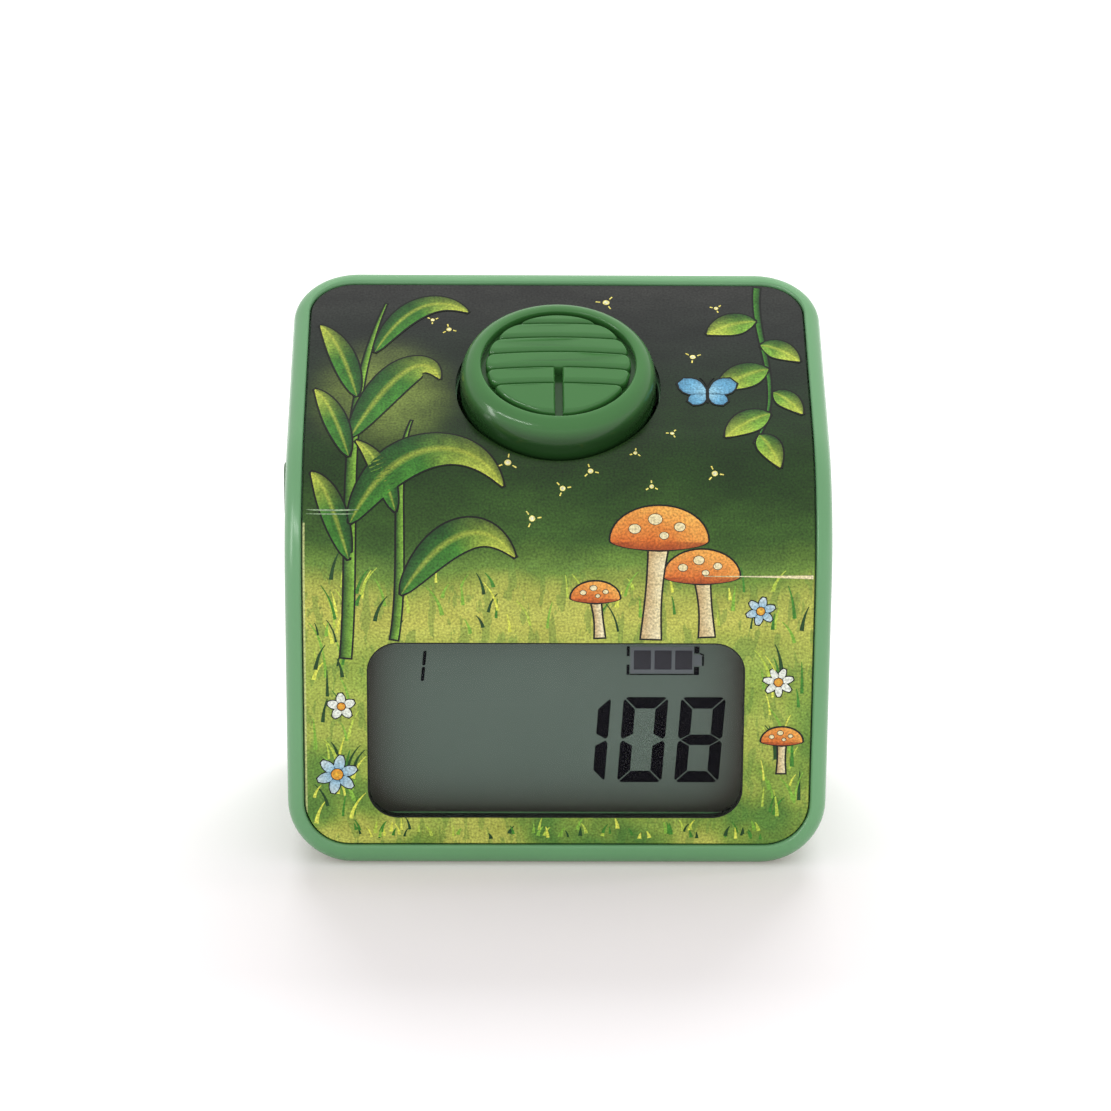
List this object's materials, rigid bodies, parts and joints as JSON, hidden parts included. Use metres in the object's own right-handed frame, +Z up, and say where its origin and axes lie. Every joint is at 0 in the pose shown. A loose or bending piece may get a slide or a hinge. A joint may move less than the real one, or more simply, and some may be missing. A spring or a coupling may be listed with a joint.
{
  "type": "tally counter",
  "caption": "Palm-sized electronic tally counter that stands on its base: display window in an upright face, round thumb button on the sloping face above, side key and charging socket.",
  "frame": {"origin": "middle of the standing face's outline, on the surface the counter stands on", "axes": "+Z up, the display face looks along -Y, +X to the right of the display"},
  "size_m": [0.0455, 0.0288, 0.0448],
  "materials": {
    "case_green": "smooth moulded plastic, semi-gloss",
    "printed_plate": "printed sheet under a clear gloss coat",
    "clear_pane": "clear polished plastic",
    "lcd": "grey-green liquid crystal display glass",
    "button_green": "satin moulded plastic",
    "key_green": "satin moulded plastic",
    "white_plastic": "moulded plastic",
    "black_plastic": "moulded plastic",
    "grey_rubber": "soft rubber and foam",
    "circuit_board": "lacquered glass-fibre board",
    "ribbon_amber": "amber polyimide film",
    "cell_foil": "foil pouch",
    "plated_steel": "plated steel",
    "red_wire": "wire insulation"
  },
  "bodies": {
    "case": {"front_case": "case_green", "rear_cover": "case_green", "face_plate": "printed_plate", "window_pane": "clear_pane", "lcd_glass": "lcd", "lcd_frame": "white_plastic", "battery_plug": "white_plastic", "controller_blob": "black_plastic", "main_switch": "black_plastic", "side_switch": "black_plastic", "socket_tongue": "black_plastic", "battery_lead_black": "black_plastic", "zebra_strip": "grey_rubber", "battery_pad": "grey_rubber", "main_board": "circuit_board", "button_board": "circuit_board", "board_link": "ribbon_amber", "battery_cell": "cell_foil", "charging_socket": "plated_steel", "crystal_can": "plated_steel", "case_screw_1": "plated_steel", "case_screw_2": "plated_steel", "case_screw_3": "plated_steel", "case_screw_4": "plated_steel", "main_board_screw_1": "plated_steel", "main_board_screw_2": "plated_steel", "button_board_screw_1": "plated_steel", "button_board_screw_2": "plated_steel", "button_board_screw_3": "plated_steel", "button_board_screw_4": "plated_steel", "battery_lead_red": "red_wire"},
    "thumb_button": {"button_cap": "button_green", "main_switch_stem": "white_plastic"},
    "side_key": {"side_key": "key_green", "side_switch_stem": "white_plastic"}
  },
  "joints": [
    {"name": "thumb_button", "type": "slide", "parent": "case", "child": "thumb_button", "axis": [0, 0.454, -0.891], "range_m": [0, 0.001], "stiffness_N_per_m": 1200, "springref_m": -0.0005},
    {"name": "side_key", "type": "slide", "parent": "case", "child": "side_key", "axis": [1, 0, 0], "range_m": [0, 0.0004], "stiffness_N_per_m": 2500, "springref_m": -0.0003}
  ]
}
